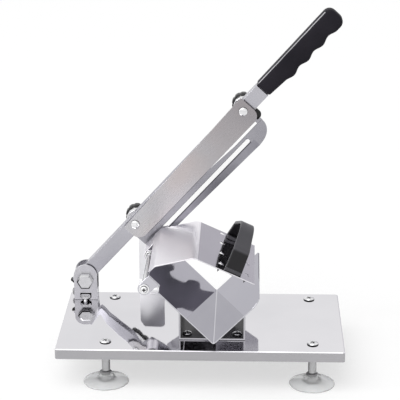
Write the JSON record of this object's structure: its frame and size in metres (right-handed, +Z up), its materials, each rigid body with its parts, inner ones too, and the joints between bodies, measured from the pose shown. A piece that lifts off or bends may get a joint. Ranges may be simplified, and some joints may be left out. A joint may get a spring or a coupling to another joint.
{
  "type": "manual frozen meat slicer",
  "caption": "Bench slicer with a long lever blade, a V-shaped trough, a toothed press plate that slides on a rod, and suction cup feet.",
  "frame": {"origin": "middle of the part's box at bench level, the plane under the rims of the suction cups, with the arm as pictured", "axes": "+X runs along the base from the pivot end to the free end, +Y away from the person who feeds the trough and towards the blade, +Z up"},
  "size_m": [0.32, 0.1992, 0.3984],
  "materials": {
    "polished_sheet": "polished stainless sheet, near mirror",
    "satin_steel": "satin stainless steel",
    "blade_steel": "ground and polished blade steel",
    "bright_steel": "bright plated fasteners and rod",
    "black_plastic": "black moulded plastic with a soft sheen",
    "grey_plastic": "dark grey moulded plastic",
    "black_rubber": "matt black rubber",
    "clear_rubber": "milky translucent soft plastic"
  },
  "bodies": {
    "base": {"base_plate": "polished_sheet", "suction_cup_front_left": "clear_rubber", "suction_cup_front_right": "clear_rubber", "suction_cup_rear_left": "clear_rubber", "suction_cup_rear_right": "clear_rubber", "foot_post_front_left": "bright_steel", "foot_post_front_right": "bright_steel", "foot_post_rear_left": "bright_steel", "foot_post_rear_right": "bright_steel", "foot_nut_front_left": "bright_steel", "foot_nut_front_right": "bright_steel", "foot_nut_rear_left": "bright_steel", "foot_nut_rear_right": "bright_steel", "foot_screw_front_left": "bright_steel", "foot_screw_front_right": "bright_steel", "foot_screw_rear_left": "bright_steel", "foot_screw_rear_right": "bright_steel", "pivot_post": "polished_sheet", "post_block": "satin_steel", "block_screw": "bright_steel", "pivot_bolt": "bright_steel", "pivot_nut": "bright_steel", "pivot_washer_front": "bright_steel", "pivot_washer_rear": "bright_steel", "stand_bolt": "bright_steel", "trough": "polished_sheet", "trough_bracket": "polished_sheet", "bracket_screw_front_left": "bright_steel", "bracket_screw_front_right": "bright_steel", "bracket_screw_rear_left": "bright_steel", "bracket_screw_rear_right": "bright_steel", "guide_rod": "bright_steel", "rod_washer": "bright_steel", "rod_screw_front": "bright_steel", "rod_screw_rear": "bright_steel", "guard_plate": "satin_steel", "guard_screw_left": "bright_steel", "guard_screw_right": "bright_steel", "guard_nut_left": "bright_steel", "guard_nut_right": "bright_steel"},
    "slide": {"slide_bush": "bright_steel"},
    "presser": {"press_plate": "polished_sheet", "press_handle": "grey_plastic", "press_handle_screw_front": "bright_steel", "press_handle_screw_rear": "bright_steel"},
    "arm": {"arm_bar": "satin_steel", "arm_bumper": "black_rubber", "clamp_plate": "satin_steel", "blade": "blade_steel", "blade_spacer": "black_rubber", "blade_bolt_lower": "bright_steel", "blade_bolt_upper": "bright_steel", "knob_collar_lower": "bright_steel", "knob_collar_upper": "bright_steel", "handle_grip": "black_plastic"},
    "lower_knob": {"knob_lower": "black_plastic"},
    "upper_knob": {"knob_upper": "black_plastic"}
  },
  "joints": [
    {"name": "arm_pivot", "type": "hinge", "parent": "base", "child": "arm", "pos_m": [-0.1395, 0.066, 0.073], "axis": [0, 1, 0], "range_deg": [-27.3, 41.2]},
    {"name": "press_slide", "type": "slide", "parent": "base", "child": "slide", "axis": [0, -1, 0], "range_m": [0, 0.098]},
    {"name": "press_tilt", "type": "hinge", "parent": "slide", "child": "presser", "pos_m": [-0.06046, 0.0344, 0.11739], "axis": [0, -1, 0], "range_deg": [0, 110]},
    {"name": "knob_lower_turn", "type": "hinge", "parent": "arm", "child": "lower_knob", "pos_m": [-0.07939, 0.0901, 0.14404], "axis": [0, 1, 0], "continuous": true},
    {"name": "knob_upper_turn", "type": "hinge", "parent": "arm", "child": "upper_knob", "pos_m": [0.04552, 0.0901, 0.28132], "axis": [0, 1, 0], "continuous": true}
  ]
}
